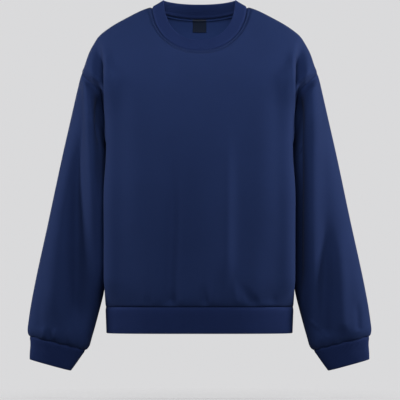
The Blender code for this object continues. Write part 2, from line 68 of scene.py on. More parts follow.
# Front and back panels ---------------------------------------------------------------------------
# Two pieces of brushed-back fleece, knitted plain on the face. They are sewn together down the
# sides and along the shoulders, and hang wide and soft, a little fuller than the waistband.
MM = 0.001
CLOTH = 2.0                  # how thick the fleece is

# How the cloth sinks beside each kind of seam: how far, and over what width
RIB_SEAM = (1.3, 2.6)
COLLAR_SEAM = (3.4, 2.4)
PLAIN_SEAM = (0.4, 2.4)
TWIN_PRESS = (3.0, 2.2)      # the same for the line that the twin-needle stitch presses
TWIN_LINE = 7.9              # how far that line is below the collar seam
HOLLOW_DEPTHS = (27.0, 12.0)  # the soft hollow along the armhole, in front and behind
HOLLOW_WIDTHS = (12.0, 14.0)
FOLD_CLEAR = 9.0             # folds die out this near to a seam
SEAM_TUCK = 1.2              # how far a piece runs on under the one it is sewn to

HEM_SEAM = -657.0
UNDERARM = -300.0
SHOULDER_TIP = -143.5

# How far in the cloth follows its edge: at the side, beside the armhole and below the neck
SIDE_REACH = 78.0
ARMPIT_REACH = 27.0
NECK_REACH = 60.0
SIDE_REACH_CLIMB = 0.35      # the part of the yoke where the first turns into the second

# How the columns and rows of a panel are spread
FAN_CLIMB = 0.3              # the part of the yoke where the columns close up to the armhole
FAN_CROWDING = 0.35
YOKE_LIFT = 1.5              # how late the rows rise, and the columns lean, to where they end
YOKE_LEAN = 3
YOKE_CROWDING = 1.5          # rows towards the shoulder
EDGE_CROWDING = 0.42         # columns towards the side

BODY_ROWS = 90
YOKE_ROWS = 84
HALF_COLUMNS = 90
NECK_COLUMNS = 45
CURVE_SAMPLES = 1441

NECK_HALF_WIDTH = 104.5
NECK_TOP = 2.6
NECK_DROPS = (96.1, 21.3)    # in front and behind, as are the reaches
NECK_REACHES = (75.0, 62.0)
NECK_SQUARE = 2.15
NECK_TURN = 0.08             # how round the foot of the V is

FRONT = -1
BACK = 1

# The body at each height: its half width, its depths in front and behind, and how square it is
TORSO_COLUMNS = ("height", "half_width", "front", "back", "square")
TORSO = (
    (2.6, 104.5, 11.0, 26.0, 2.6),
    (-2.6, 120.5, 14.0, 40.0, 2.6),
    (-9.2, 135.8, 17.5, 50.0, 2.6),
    (-22.1, 160.9, 26.5, 65.5, 2.6),
    (-35.3, 184.9, 34.5, 76.0, 2.6),
    (-48.5, 204.8, 43.0, 84.0, 2.6),
    (-62.0, 220.9, 52.0, 90.0, 2.65),
    (-75.5, 230.5, 62.0, 95.0, 2.7),
    (-93.5, 240.5, 75.0, 100.5, 2.75),
    (-115.5, 249.0, 86.5, 106.0, 2.8),
    (-131.0, 254.4, 92.3, 108.9, 2.85),
    (-143.5, 258.7, 96.5, 111.0, 2.9),
    (-166.0, 247.0, 102.5, 114.0, 3.0),
    (-190.0, 232.5, 107.0, 117.0, 3.1),
    (-220.0, 220.0, 110.5, 119.0, 3.2),
    (-255.0, 214.5, 113.0, 119.5, 3.2),
    (-300.0, 212.5, 115.0, 119.0, 3.2),
    (-340.0, 214.0, 115.0, 117.5, 3.2),
    (-390.0, 218.0, 115.0, 115.0, 3.2),
    (-480.0, 219.0, 112.5, 111.0, 3.2),
    (-590.0, 218.0, 110.0, 107.5, 3.2),
    (-630.0, 214.0, 108.5, 106.0, 3.2),
    (-648.0, 209.5, 105.0, 102.5, 3.2),
    (-657.0, 206.5, 101.0, 98.5, 3.2),
)

# The side seam
SIDE_COLUMNS = ("height", "x", "y")
SIDE_SEAM = (
    (-300.0, 191.0, 10.0),
    (-340.0, 190.0, 10.0),
    (-420.0, 190.5, 10.0),
    (-520.0, 193.0, 9.0),
    (-590.0, 199.0, 6.0),
    (-630.0, 206.0, 2.0),
    (-657.0, 206.5, 0.0),
)

# The armhole seam, from the underarm (0) to the shoulder tip (1)
ARMHOLE_COLUMNS = ("along", "x", "front_y", "back_y", "height")
ARMHOLE = (
    (0.0, 191.0, 10.0, 10.0, -300.0),
    (0.06, 192.5, -3.0, 23.0, -294.0),
    (0.15, 197.0, -17.0, 37.0, -275.0),
    (0.34, 207.0, -37.0, 58.0, -237.0),
    (0.49, 214.5, -49.0, 69.0, -205.0),
    (0.62, 224.0, -55.0, 71.0, -179.0),
    (0.73, 236.5, -51.0, 62.0, -160.5),
    (0.855, 251.8, -31.0, 36.0, -149.0),
    (1.0, 258.7, 0.0, 0.0, -143.5),
)
ARMHOLE_OUTWARD = (0.93, 0.0, -0.36)
ARMHOLE_CENTRE = (222.0, 10.0, -215.0)


def both_sides(folds):
    """Each fold of the right side, followed by its mirror image."""
    return [
        row for top_x, top_z, foot_x, *rest in folds
        for row in ((top_x, top_z, foot_x, *rest), (-top_x, top_z, -foot_x, *rest))
    ]


# Soft folds. Each runs from its top to its foot, stands "rise" over the cloth, or sinks if below
# 0, and fades over these shares of its length.
FOLD_COLUMNS = ("top_x", "top_z", "foot_x", "foot_z", "width", "rise", "top_fade", "foot_fade")
FRONT_FOLDS = (
    (-54.0, -260.0, -66.0, -668.0, 14.0, -7.5, 0.55, 0.05),
    (-10.0, -240.0, -10.0, -640.0, 30.0, -4.0, 0.5, 0.3),
    (50.0, -240.0, 50.0, -650.0, 27.0, 6.0, 0.5, 0.25),
    (64.0, -240.0, 60.0, -640.0, 13.0, 3.5, 0.4, 0.3),
    (88.0, -600.0, 128.0, -668.0, 12.0, -2.0, 0.5, 0.1),
    (-150.0, -420.0, -142.0, -668.0, 26.0, -3.0, 0.6, 0.1),
    (150.0, -440.0, 150.0, -660.0, 26.0, -3.0, 0.6, 0.1),
    # The hollows in front of the armholes, and the edges where the front turns into the sides
    *both_sides((
        (228.0, -56.0, 213.0, -290.0, 10.0, -28.0, 0.3, 0.2),
        (212.0, -74.0, 195.0, -160.0, 12.0, 7.0, 0.6, 0.4),
        (195.0, -120.0, 198.0, -656.0, 19.0, 14.0, 0.08, 0.12),
        (202.0, -96.0, 204.0, -650.0, 5.0, 3.0, 0.1, 0.1),
        (150.0, -100.0, 150.0, -656.0, 40.0, 4.0, 0.15, 0.12),
    )),
    # Small gathers where the fleece is eased on to the waistband
    (34.0, -560.0, 30.0, -668.0, 9.0, 2.5, 0.7, 0.05),
    (8.0, -596.0, 13.0, -668.0, 7.0, -6.0, 0.7, 0.05),
    (96.0, -600.0, 120.0, -668.0, 8.0, -2.6, 0.6, 0.05),
    (74.0, -590.0, 82.0, -650.0, 7.0, 2.0, 0.6, 0.1),
    (-60.0, -612.0, -62.0, -668.0, 6.0, -5.0, 0.7, 0.05),
    (118.0, -622.0, 124.0, -668.0, 6.0, -5.0, 0.7, 0.05),
    (-112.0, -614.0, -108.0, -668.0, 8.0, -2.5, 0.7, 0.05),
    (-34.0, -606.0, -38.0, -668.0, 8.0, 1.6, 0.7, 0.05),
    (160.0, -610.0, 163.0, -668.0, 9.0, -1.6, 0.7, 0.05),
)
BACK_FOLDS = (
    (-20.0, -250.0, -34.0, -668.0, 36.0, -6.0, 0.6, 0.05),
    (45.0, -330.0, 60.0, -668.0, 28.0, 4.0, 0.6, 0.15),
    (-105.0, -360.0, -98.0, -668.0, 28.0, 4.0, 0.6, 0.15),
    (120.0, -400.0, 128.0, -668.0, 26.0, -4.0, 0.6, 0.1),
    *both_sides(((216.0, -100.0, 211.0, -235.0, 14.0, -4.0, 0.5, 0.4),)),
    (-40.0, -596.0, -36.0, -668.0, 8.0, -2.2, 0.7, 0.05),
    (30.0, -604.0, 26.0, -668.0, 8.0, -1.6, 0.7, 0.05),
    (88.0, -612.0, 92.0, -668.0, 7.0, -1.6, 0.7, 0.05),
    (-84.0, -606.0, -88.0, -668.0, 9.0, -1.4, 0.7, 0.05),
    (-146.0, -600.0, -150.0, -668.0, 8.0, -1.4, 0.7, 0.05),
)


def spline(knots, values, flat_ends=False):
    """The cubic curve through the points, natural at its ends or level there, as a function."""
    count = len(knots)
    step = np.diff(knots)
    slope = np.diff(values) / step
    system = np.eye(count)
    right = np.zeros(count)
    for i in range(1, count - 1):
        system[i, i - 1:i + 2] = step[i - 1], 2 * (step[i - 1] + step[i]), step[i]
        right[i] = 6 * (slope[i] - slope[i - 1])
    if flat_ends:
        system[0, :2] = 2 * step[0], step[0]
        right[0] = 6 * slope[0]
        system[-1, -2:] = step[-1], 2 * step[-1]
        right[-1] = -6 * slope[-1]
    bend = np.linalg.solve(system, right)

    def curve(at):
        at = np.clip(at, knots[0], knots[-1])
        i = np.clip(np.searchsorted(knots, at) - 1, 0, count - 2)
        after = at - knots[i]
        before = knots[i + 1] - at
        cubic = (bend[i] * before**3 + bend[i + 1] * after**3) / (6 * step[i])
        start = values[i] / step[i] - bend[i] * step[i] / 6
        end = values[i + 1] / step[i] - bend[i + 1] * step[i] / 6
        return cubic + start * before + end * after

    return curve


def curves(names, rows, flat=()):
    """A table's columns as smooth functions of its first column."""
    data = np.array(sorted(rows))
    return {
        name: spline(data[:, 0], data[:, i], name in flat)
        for i, name in enumerate(names) if i
    }


torso = curves(TORSO_COLUMNS, TORSO)
side_seam = curves(SIDE_COLUMNS, SIDE_SEAM)
armhole = curves(ARMHOLE_COLUMNS, ARMHOLE, flat=("x", "height"))


def points(x, y, z):
    """Arrays of coordinates joined into one array of points."""
    return np.stack(np.broadcast_arrays(x, y, z), axis=-1)


def unit(vectors):
    """The vectors, each made one long."""
    return vectors / np.linalg.norm(vectors, axis=-1, keepdims=True)


def rounded(angle, square):
    """Sine and cosine of an angle, pushed out to a rounded square: 2 is a circle."""
    s, c = np.sin(angle), np.cos(angle)
    reach = (np.abs(s)**square + np.abs(c)**square) ** (-1 / square)
    return s * reach, c * reach


def eased(share):
    """0 to 1 with level ends: 3s^2 - 2s^3."""
    share = np.clip(share, 0, 1)
    return share * share * (3 - 2 * share)


def run_along(path):
    """Distance run along a line of points."""
    return np.concatenate(([0], np.cumsum(np.linalg.norm(np.diff(path, axis=0), axis=1))))


def pulled(grid, edge, target, reach):
    """A grid whose edge is brought to its target, with the cloth beside it following softly."""
    away = np.linalg.norm(grid - edge, axis=-1)
    return grid + eased(1 - away / reach)[..., None] * (target - edge)


def torso_point(angle, height, side):
    """The body's form: a rounded square round each height, 0 on the centre line, a quarter turn
    at the side."""
    across, forward = rounded(angle, torso["square"](height))
    depth = torso["front" if side == FRONT else "back"](height)
    return points(across * torso["half_width"](height), side * depth * forward, height)


def neck_curve(angle, half_width, top, drops, reaches, square):
    """A line round the neck. It drops as a rounded V in front, sqrt(c^2 + t^2) - t, and as a
    shallow bow c^2 behind."""
    across, forward = rounded(angle, square)
    turn = NECK_TURN
    steep = (np.sqrt(forward**2 + turn**2) - turn) / (np.sqrt(1 + turn**2) - turn)
    in_front = forward > 0
    y = -forward * np.where(in_front, reaches[0], reaches[1])
    z = top - np.where(in_front, drops[0] * steep, drops[1] * forward**2)
    return points(across * half_width, y, z)


def collar_seam(angle):
    """The seam round the neck."""
    return neck_curve(angle, NECK_HALF_WIDTH, NECK_TOP, NECK_DROPS, NECK_REACHES, NECK_SQUARE)


def armhole_point(along, side):
    """The armhole seam, 0 at the underarm and 1 at the shoulder tip."""
    y = armhole["front_y" if side == FRONT else "back_y"](along)
    return points(armhole["x"](along), y, armhole["height"](along))


def fold_rise(x, z, folds):
    """How far the folds lift the cloth: each a ridge exp(-(distance / width)^2) that fades at its
    ends."""
    total = np.zeros(np.broadcast(x, z).shape)
    for fold in folds:
        f = dict(zip(FOLD_COLUMNS, fold))
        along = (f["top_z"] - z) / (f["top_z"] - f["foot_z"])
        centre = f["top_x"] + (f["foot_x"] - f["top_x"]) * along
        fade = eased(along / f["top_fade"]) * eased((1 - along) / f["foot_fade"])
        total += f["rise"] * fade * np.exp(-((x - centre) / f["width"]) ** 2)
    return total


def grid_normals(grid, closed):
    """Unit normals of a grid whose columns run round to the right as its rows go up: the step
    across crossed with the step up."""
    if closed:
        across = np.roll(grid, -1, axis=1) - np.roll(grid, 1, axis=1)
    else:
        across = np.gradient(grid, axis=1)
    return unit(np.cross(across, np.gradient(grid, axis=0)))


def yoke_climb():
    """The yoke's rows, from the underarm (0) to the shoulder (1), closer to each other there."""
    return 1 - np.linspace(1, 0, YOKE_ROWS + 1)[:, None] ** YOKE_CROWDING


def panel_form(side):
    """The right half of a body panel: rows from the waistband up, columns from the centre out.

    Below the underarm a row is level. Above it the columns fan out, to end on the collar seam or
    on the shoulder seam, and the last column follows the armhole seam.
    """
    share = np.linspace(0, 1, HALF_COLUMNS + 1)
    fine = np.linspace(0, np.pi / 2, CURVE_SAMPLES)
    run = run_along(torso_point(fine, UNDERARM, side))
    wanted = (1 + EDGE_CROWDING) * share - EDGE_CROWDING * share**2
    base_angle = np.interp(wanted * run[-1], run, fine)

    # Below the underarm
    height = np.linspace(HEM_SEAM, UNDERARM, BODY_ROWS + 1)[:-1, None]
    body = torso_point(base_angle, height, side)
    seam = points(side_seam["x"](height), side_seam["y"](height), height)
    body = pulled(body, body[:, -1:], seam, SIDE_REACH)

    # Where each column ends
    neck_share = share[NECK_COLUMNS]
    neck_angle = np.pi / 2 * share[:NECK_COLUMNS + 1] / neck_share
    if side == BACK:
        neck_angle = np.pi - neck_angle
    neck = collar_seam(neck_angle)
    levels = np.linspace(NECK_TOP, SHOULDER_TIP, CURVE_SAMPLES)
    run = run_along(points(torso["half_width"](levels), 0.0, levels))
    beyond = (share[NECK_COLUMNS + 1:] - neck_share) / (1 - neck_share)
    shoulder_height = np.interp(beyond * run[-1], run, levels)
    top = np.concatenate((neck, points(torso["half_width"](shoulder_height), 0.0, shoulder_height)))
    depth = torso["front" if side == FRONT else "back"](top[:, 2])
    top_angle = np.arctan2(top[:, 0] / torso["half_width"](top[:, 2]), np.abs(top[:, 1]) / depth)

    # The yoke, between the underarm and those ends
    climb = yoke_climb()
    hole = armhole_point(climb, side)
    hole_x = hole[..., 0] / torso["half_width"](hole[..., 2])
    hole_depth = torso["front" if side == FRONT else "back"](hole[..., 2])
    hole_y = np.clip(side * hole[..., 1], 0, None) / hole_depth
    hole_angle = np.arctan2(hole_x, hole_y) / (np.pi / 2)
    hole_angle[0] = hole_angle[-1] = 1.0
    angle = base_angle + (top_angle - base_angle) * climb**YOKE_LEAN
    angle = angle * (1 - (1 - hole_angle) * eased(climb / FAN_CLIMB) * share**FAN_CROWDING)
    straight = UNDERARM + (SHOULDER_TIP - UNDERARM) * climb
    level = straight + (top[:, 2] - SHOULDER_TIP) * climb**YOKE_LIFT
    level = level + share**2 * (hole[..., 2] - straight)
    yoke = torso_point(angle, level, side)
    reach = ARMPIT_REACH + (SIDE_REACH - ARMPIT_REACH) * eased(1 - climb / SIDE_REACH_CLIMB)
    yoke = pulled(yoke, yoke[:, -1:], hole, reach)
    yoke = pulled(yoke, yoke[-1:], top[None], NECK_REACH)
    return np.concatenate((body, yoke))


def rolled_in(grid, edge, roll, line=0.0):
    """How far the cloth sinks beside a seam, or at a line below it: a groove
    dip * exp(-((distance - line) / width)^2)."""
    dip, width = roll
    away = np.linalg.norm(grid - edge, axis=-1)
    return dip * np.exp(-((away - line) / width) ** 2)


def armhole_roll(grid, along, side):
    """How panel and sleeve sink together beside the armhole seam: a groove at the seam and a soft
    hollow, deepest halfway up, into the armhole and square to the arm."""
    seam = armhole_point(along, side)
    axis = unit(np.array(ARMHOLE_OUTWARD))
    away = np.array(ARMHOLE_CENTRE) - seam
    inward = unit(away - (away @ axis)[..., None] * axis)
    depth, width = HOLLOW_DEPTHS[side == BACK], HOLLOW_WIDTHS[side == BACK]
    sink = rolled_in(grid, seam, PLAIN_SEAM)
    sink += rolled_in(grid, seam, (depth * np.sin(np.pi * along) ** 2, width))
    return sink[..., None] * inward


def clear_of(grid, edge):
    """0 at an edge, rising to 1 away from it."""
    return 1 - np.exp(-(np.linalg.norm(grid - edge, axis=-1) / FOLD_CLEAR) ** 2)


def panel_walls(side, folds):
    """Outer and inner points of a whole body panel, its edges rolled in to the seams."""
    half = panel_form(side)
    mirrored = half[:, :0:-1] * (-1, 1, 1)
    outer = np.concatenate((mirrored, half), axis=1)
    normal = grid_normals(outer, closed=False) * -side
    # Front and back meet at a level edge along the shoulders, and square to it at the sides.
    ends = np.arange(outer.shape[1])
    on_shoulder = np.abs(ends - HALF_COLUMNS) > NECK_COLUMNS
    normal[-1, on_shoulder, 1] = 0
    normal[:BODY_ROWS + 1, (0, -1), 1] = 0
    normal = unit(normal)
    rise = fold_rise(outer[..., 0], outer[..., 2], folds) * np.abs(normal[..., 1])
    rise *= clear_of(outer, outer[:1])
    at_shoulder = rolled_in(outer, outer[-1:], PLAIN_SEAM)
    at_collar = rolled_in(outer, outer[-1:], COLLAR_SEAM)
    at_collar += rolled_in(outer, outer[-1:], TWIN_PRESS, TWIN_LINE)
    sink = np.maximum(rolled_in(outer, outer[:1], RIB_SEAM),
                      np.where(on_shoulder, at_shoulder, at_collar))
    roll = np.zeros_like(outer)
    along = yoke_climb()
    for edge, mirror in ((0, (-1, 1, 1)), (-1, (1, 1, 1))):
        beside = rolled_in(outer[:BODY_ROWS], outer[:BODY_ROWS, edge][:, None], PLAIN_SEAM)
        sink[:BODY_ROWS] = np.maximum(sink[:BODY_ROWS], beside)
        roll[BODY_ROWS:] += armhole_roll(outer[BODY_ROWS:] * mirror, along, side) * mirror
        rise[BODY_ROWS:] *= clear_of(outer[BODY_ROWS:], outer[BODY_ROWS:, edge][:, None])
    outer = outer + (rise - sink)[..., None] * normal + roll
    inner = outer - CLOTH * normal
    # Along the shoulders the inner face ends where the two panels meet.
    depth = inner[BODY_ROWS + 1:, :, 1]
    depth[...] = side * np.maximum(side * depth, 0)
    return outer, inner


def cells(grid):
    """The four corners of each cell of a grid, in order round it."""
    corners = (grid[:-1, :-1], grid[:-1, 1:], grid[1:, 1:], grid[1:, :-1])
    return np.stack([c.reshape(-1, *grid.shape[2:]) for c in corners], axis=1)


def cloth_lengths(grid):
    """The distance run across and up a grid of cloth from its middle column, in metres."""
    across = np.linalg.norm(np.diff(grid, axis=1), axis=-1)
    across = np.pad(np.cumsum(across, axis=1), ((0, 0), (1, 0)))
    across -= across[:, across.shape[1] // 2][:, None]
    up = np.linalg.norm(np.diff(grid, axis=0), axis=-1).mean(axis=1)
    up = np.pad(np.cumsum(up), (1, 0))[:, None]
    return np.stack(np.broadcast_arrays(across, up), axis=-1) * MM


def add_piece(name, vertices, faces, lengths=None):
    """A mesh object from points in millimetres, with the lengths as its UV map."""
    mesh = bpy.data.meshes.new(name)
    mesh.from_pydata((vertices.reshape(-1, 3) * MM).tolist(), [], faces.tolist())
    if lengths is not None:
        mesh.uv_layers.new(name="cloth").data.foreach_set("uv", lengths.reshape(-1))
    mesh.shade_smooth()
    piece = bpy.data.objects.new(name, mesh)
    bpy.context.collection.objects.link(piece)
    return piece


def wall_mesh(name, outer, inner, closed):
    """A closed wall of cloth: the outer grid, the inner grid behind it and a rim at each edge."""
    rows, columns = outer.shape[:2]
    around = np.arange(columns + 1) % columns if closed else np.arange(columns)
    front = np.arange(rows * columns).reshape(rows, columns)[:, around]
    behind = front + rows * columns
    uv = cloth_lengths(outer[:, around])
    faces = [cells(front), cells(behind)[:, ::-1]]
    lengths = [cells(uv), cells(uv)[:, ::-1]]
    rims = [(behind[0], front[0], uv[0]), (front[-1], behind[-1], uv[-1])]
    if not closed:
        rims += [(front[:, 0], behind[:, 0], uv[:, 0]), (behind[:, -1], front[:, -1], uv[:, -1])]
    for near, far, edge in rims:
        faces.append(cells(np.stack((near, far))))
        lengths.append(cells(np.stack((edge, edge))))
    vertices = np.concatenate((outer.reshape(-1, 3), inner.reshape(-1, 3)))
    piece = add_piece(name, vertices, np.concatenate(faces), np.concatenate(lengths))
    # Marks the inner faces, which the fleece's finish paints paler as painted light.
    inside = np.repeat((0.0, 1.0), rows * columns)
    piece.data.attributes.new("inside", "FLOAT", "POINT").data.foreach_set("value", inside)
    return piece


class Value:
    """A shader value, wrapped so that an expression on it adds its own Math nodes."""

    def __init__(self, shading, socket):
        self.shading = shading
        self.socket = socket

    def math(self, operation, first, second=None):
        inputs = {0: first} if second is None else {0: first, 1: second}
        return self.shading.node("ShaderNodeMath", {"operation": operation}, inputs)

    def __add__(self, other):
        return self.math("ADD", self, other)

    def __sub__(self, other):
        return self.math("SUBTRACT", self, other)

    def __rsub__(self, other):
        return self.math("SUBTRACT", other, self)

    def __mul__(self, other):
        return self.math("MULTIPLY", self, other)

    def __truediv__(self, other):
        return self.math("DIVIDE", self, other)

    def __abs__(self):
        return self.math("ABSOLUTE", self)

    def wave(self):
        """Cosine of the value in whole turns."""
        return self.math("COSINE", self * (2 * math.pi))

    def saw(self):
        """1 at whole numbers, 0 halfway between them, in straight lines."""
        return abs(self.math("FRACT", self) * 2 - 1)


class Shading:
    """A node tree. node() adds any node: its settings are set first, then its sockets."""

    def __init__(self, tree):
        self.tree = tree

    def put(self, socket, value):
        """Links a value to a socket, or sets the socket to a number or a colour."""
        if isinstance(value, Value):
            self.tree.links.new(value.socket, socket)
        else:
            socket.default_value = value

    def node(self, kind, settings=None, inputs=None, output=0):
        new = self.tree.nodes.new(kind)
        for name, value in (settings or {}).items():
            setattr(new, name, value)
        for name, value in (inputs or {}).items():
            self.put(new.inputs[name], value)
        return Value(self, new.outputs[output])

    def mix(self, share, low, high):
        """One colour turning into another."""
        settings = {"data_type": "RGBA"}
        return self.node("ShaderNodeMix", settings, {"Factor": share, "A": low, "B": high}, 2)


class Finish(Shading):
    """A material, with what its cloth needs."""

    def __init__(self, name, colour, roughness):
        self.material = bpy.data.materials.new(name)
        self.material.use_nodes = True
        super().__init__(self.material.node_tree)
        self.shader = self.tree.nodes["Principled BSDF"]
        self.set("Base Color", (*colour, 1.0))
        self.set("Roughness", roughness)

    def set(self, name, value):
        """Sets or links a socket of the material's shader."""
        self.put(self.shader.inputs[name], value)

    def cloth_place(self):
        """Distance across and up the cloth, in metres, as two values."""
        uv = self.node("ShaderNodeUVMap", {"uv_map": "cloth"})
        split = {"Vector": uv}
        return (self.node("ShaderNodeSeparateXYZ", None, split, "X"),
                self.node("ShaderNodeSeparateXYZ", None, split, "Y"))

    def noise(self, scale, detail=2.0):
        """Soft noise in the garment's own space, 0 to 1."""
        place = self.node("ShaderNodeTexCoord", None, None, "Object")
        inputs = {"Vector": place, "Scale": scale, "Detail": detail}
        return self.node("ShaderNodeTexNoise", None, inputs, "Fac")

    def shades(self, share, colour, dark, light):
        """A colour from so many times itself at share 0 to so many times at 1."""
        return self.mix(share, tinted(colour, dark), tinted(colour, light))

    def raise_by(self, height, distance, strength=1.0):
        """Bump: the height, of about 0 to 1, stands this far out."""
        inputs = {"Height": height, "Distance": distance, "Strength": strength}
        self.set("Normal", self.node("ShaderNodeBump", None, inputs))


SHEEN_TINT = (0.30, 0.38, 0.62, 1.0)
SHEEN_ROUGHNESS = 0.45
CLOTH_SPECULAR = 0.12
KNIT_BUMP = 0.7
LOOP_SLANT = 0.45            # how far, in courses, a loop's legs run down to their foot
RIDGE_SHARE = 0.65           # of the wale's ridge in the height of the knitting

FLEECE = {
    "colour": (0.0135, 0.0280, 0.0980),
    "roughness": 0.88,
    "wale": 0.0014,                  # one column of loops
    "course": 0.0011,                # one row of loops
    "nap": (650.0, 3.0),             # noise of this scale and detail
    "cloud": (14.0, 3.0),
    "shares": (0.45, 0.25, 0.3),     # of nap, cloud and loops in the colour
    "spread": 0.28,                  # how far it goes from its colour to dark and to light
    "loop_share": 0.55,              # of the loops in the relief; the rest is nap
    "relief": 0.0003,
    "sheen": 0.05,
    # Painted light: the inside faces are painted this many times paler, so that the inside of the
    # neck looks lit.
    "brushed": 2.0,                  # how much paler the inside is
}


def tinted(colour, factor):
    """A colour made darker or lighter, as a shader takes it."""
    return (*(channel * factor for channel in colour), 1.0)


def knitted(finish, wale, course):
    """Plain knitting: each wale a rounded ridge, crossed by the V of its loops."""
    across, up = finish.cloth_place()
    ridge = (across / wale).saw()
    loops = (up / course + ridge * LOOP_SLANT).wave() * 0.5 + 0.5
    return (1 - ridge * ridge) * RIDGE_SHARE + loops * (1 - RIDGE_SHARE)


def knit_finish(name, look):
    """Knitted cloth: fine loops under a short soft nap, a little uneven in colour. Given a
    painted inside light, the inside faces are painted paler: painted light inside the garment."""
    finish = Finish(name, look["colour"], look["roughness"])
    nap = finish.noise(*look["nap"])
    cloud = finish.noise(*look["cloud"])
    loops = knitted(finish, look["wale"], look["course"])
    nap_share, cloud_share, loop_share = look["shares"]
    shade = nap * nap_share + cloud * cloud_share + loops * loop_share
    face = finish.shades(shade, look["colour"], 1 - look["spread"], 1 + look["spread"])
    # Painted light: the inside faces are painted paler than the face, so that the inside of the neck
    # looks lit.
    if "brushed" in look:
        inside = finish.node("ShaderNodeAttribute", {"attribute_name": "inside"}, None, "Fac")
        face = finish.mix(inside, face, tinted(look["colour"], look["brushed"]))
    finish.set("Base Color", face)
    height = loops * look["loop_share"] + nap * (1 - look["loop_share"])
    finish.raise_by(height, look["relief"], KNIT_BUMP)
    finish.set("Sheen Weight", look["sheen"])
    finish.set("Sheen Roughness", SHEEN_ROUGHNESS)
    finish.set("Sheen Tint", SHEEN_TINT)
    finish.set("Specular IOR Level", CLOTH_SPECULAR)
    return finish.material


def dress(piece, material, node):
    """Gives a piece its finish, hangs it on the garment's one body and hides the solid part it
    replaces.
    """
    piece.data.materials.append(material)
    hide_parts(node)
    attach(piece, "root")


fleece = knit_finish("fleece", FLEECE)

front_outer, front_inner = panel_walls(FRONT, FRONT_FOLDS)
front = wall_mesh("front_panel", front_outer, front_inner, closed=False)
dress(front, fleece, "front")

back_outer, back_inner = panel_walls(BACK, BACK_FOLDS)
back = wall_mesh("back_panel", back_outer[:, ::-1], back_inner[:, ::-1], closed=False)
dress(back, fleece, "back")


# Sleeves -----------------------------------------------------------------------------------------
# Wide tubes of the same fleece, set on to the dropped shoulder. They hang full beside the body,
# fold softly along the arm, and are gathered on to the cuffs.
SLEEVE_REACH = 42.0          # how far down the cloth follows the armhole
SLEEVE_COLUMNS = 132
SLEEVE_ROWS = 150
SLEEVE_CROWDING = 0.12       # rows towards both ends
GATHERS = 13                 # round the cuff seam
GATHER_DRIFT = (1.7, 3)      # how unevenly they stand: how far, and how often
GATHER_RISE = 0.9
GATHER_REACH = 16.0

OUTLINE_COLUMNS = ("height", "x")
OUTER_OUTLINE = (
    (-143.5, 258.7), (-150.7, 261.0), (-168.3, 265.8), (-203.5, 274.2), (-256.3, 286.3),
    (-309.1, 298.4), (-379.5, 313.6), (-467.5, 332.1), (-555.5, 351.5), (-625.9, 366.0),
    (-661.1, 372.2), (-696.3, 377.0), (-713.9, 377.0), (-721.6, 374.4),
)
INNER_OUTLINE = (
    (-300.0, 191.4), (-316.0, 197.0), (-340.0, 200.5), (-378.0, 203.0), (-448.0, 204.5),
    (-525.0, 205.5), (-590.0, 207.0), (-620.0, 209.5), (-645.0, 214.9), (-680.7, 224.2),
    (-716.0, 233.9), (-733.6, 238.9), (-745.6, 243.6), (-752.4, 249.7),
)
outer_outline = curves(OUTLINE_COLUMNS, OUTER_OUTLINE)["x"]
inner_outline = curves(OUTLINE_COLUMNS, INNER_OUTLINE)["x"]

# Sections from the armhole (0) to the cuff seam (1)
SLEEVE_COLUMN_NAMES = ("along", "outer", "inner", "y", "half_depth", "square")
SLEEVE = (
    (0.0, -143.5, -300.0, 6.0, 67.0, 2.3),
    (0.04, -166.0, -315.0, 9.0, 69.0, 2.3),
    (0.1, -200.0, -338.0, 12.0, 70.0, 2.4),
    (0.2, -262.0, -378.0, 15.0, 69.5, 2.5),
    (0.35, -358.0, -448.0, 16.0, 67.0, 2.5),
    (0.5, -452.0, -525.0, 15.0, 63.5, 2.5),
    (0.65, -543.0, -602.0, 11.0, 59.5, 2.5),
    (0.8, -630.0, -681.0, 5.0, 55.0, 2.5),
    (0.9, -681.0, -722.0, 1.0, 51.0, 2.5),
    (0.96, -707.0, -742.0, -2.0, 46.0, 2.5),
    (1.0, -721.6, -752.4, -3.0, 38.0, 2.5),
)
sleeve_section = curves(SLEEVE_COLUMN_NAMES, SLEEVE)

# Folds, with x measured outwards from the middle of the garment
SLEEVE_FRONT_FOLDS = {
    "left": (
        (215.0, -128.0, 210.0, -335.0, 18.0, -28.0, 0.17, 0.4),
        (209.0, -330.0, 213.0, -650.0, 19.0, 28.0, 0.35, 0.3),
        (243.0, -105.0, 236.0, -620.0, 15.0, 18.0, 0.12, 0.5),
        (277.0, -130.0, 266.0, -720.0, 22.0, -23.0, 0.2, 0.12),
        (316.0, -300.0, 326.0, -700.0, 20.0, 6.0, 0.4, 0.2),
        (314.0, -700.0, 318.0, -732.0, 5.0, 2.5, 0.5, 0.3),
        (340.0, -696.0, 343.0, -728.0, 5.0, 2.5, 0.5, 0.3),
        (327.0, -700.0, 330.0, -730.0, 4.0, -2.0, 0.5, 0.3),
        (352.0, -630.0, 353.0, -712.0, 9.0, -2.0, 0.4, 0.2),
        (280.0, -680.0, 282.0, -742.0, 7.0, 3.0, 0.5, 0.1),
    ),
    "right": (
        (212.0, -128.0, 206.0, -655.0, 17.0, -28.0, 0.13, 0.15),
        (245.0, -110.0, 248.0, -700.0, 20.0, 18.0, 0.12, 0.4),
        (277.0, -430.0, 272.0, -728.0, 14.0, -12.0, 0.6, 0.08),
        (306.0, -460.0, 315.0, -722.0, 16.0, 7.0, 0.5, 0.12),
        (346.0, -640.0, 350.0, -712.0, 7.0, -3.0, 0.4, 0.15),
        (238.0, -682.0, 284.0, -728.0, 5.0, 3.0, 0.2, 0.2),
        (312.0, -690.0, 309.0, -738.0, 6.0, -2.0, 0.5, 0.1),
    ),
}
SLEEVE_BACK_FOLDS = {
    "left": (
        (262.0, -260.0, 285.0, -700.0, 21.0, -6.0, 0.4, 0.2),
        (300.0, -420.0, 322.0, -740.0, 18.0, 4.0, 0.4, 0.1),
    ),
    "right": (
        (258.0, -240.0, 280.0, -690.0, 21.0, -6.0, 0.4, 0.2),
        (306.0, -460.0, 318.0, -740.0, 18.0, 4.0, 0.4, 0.1),
    ),
}


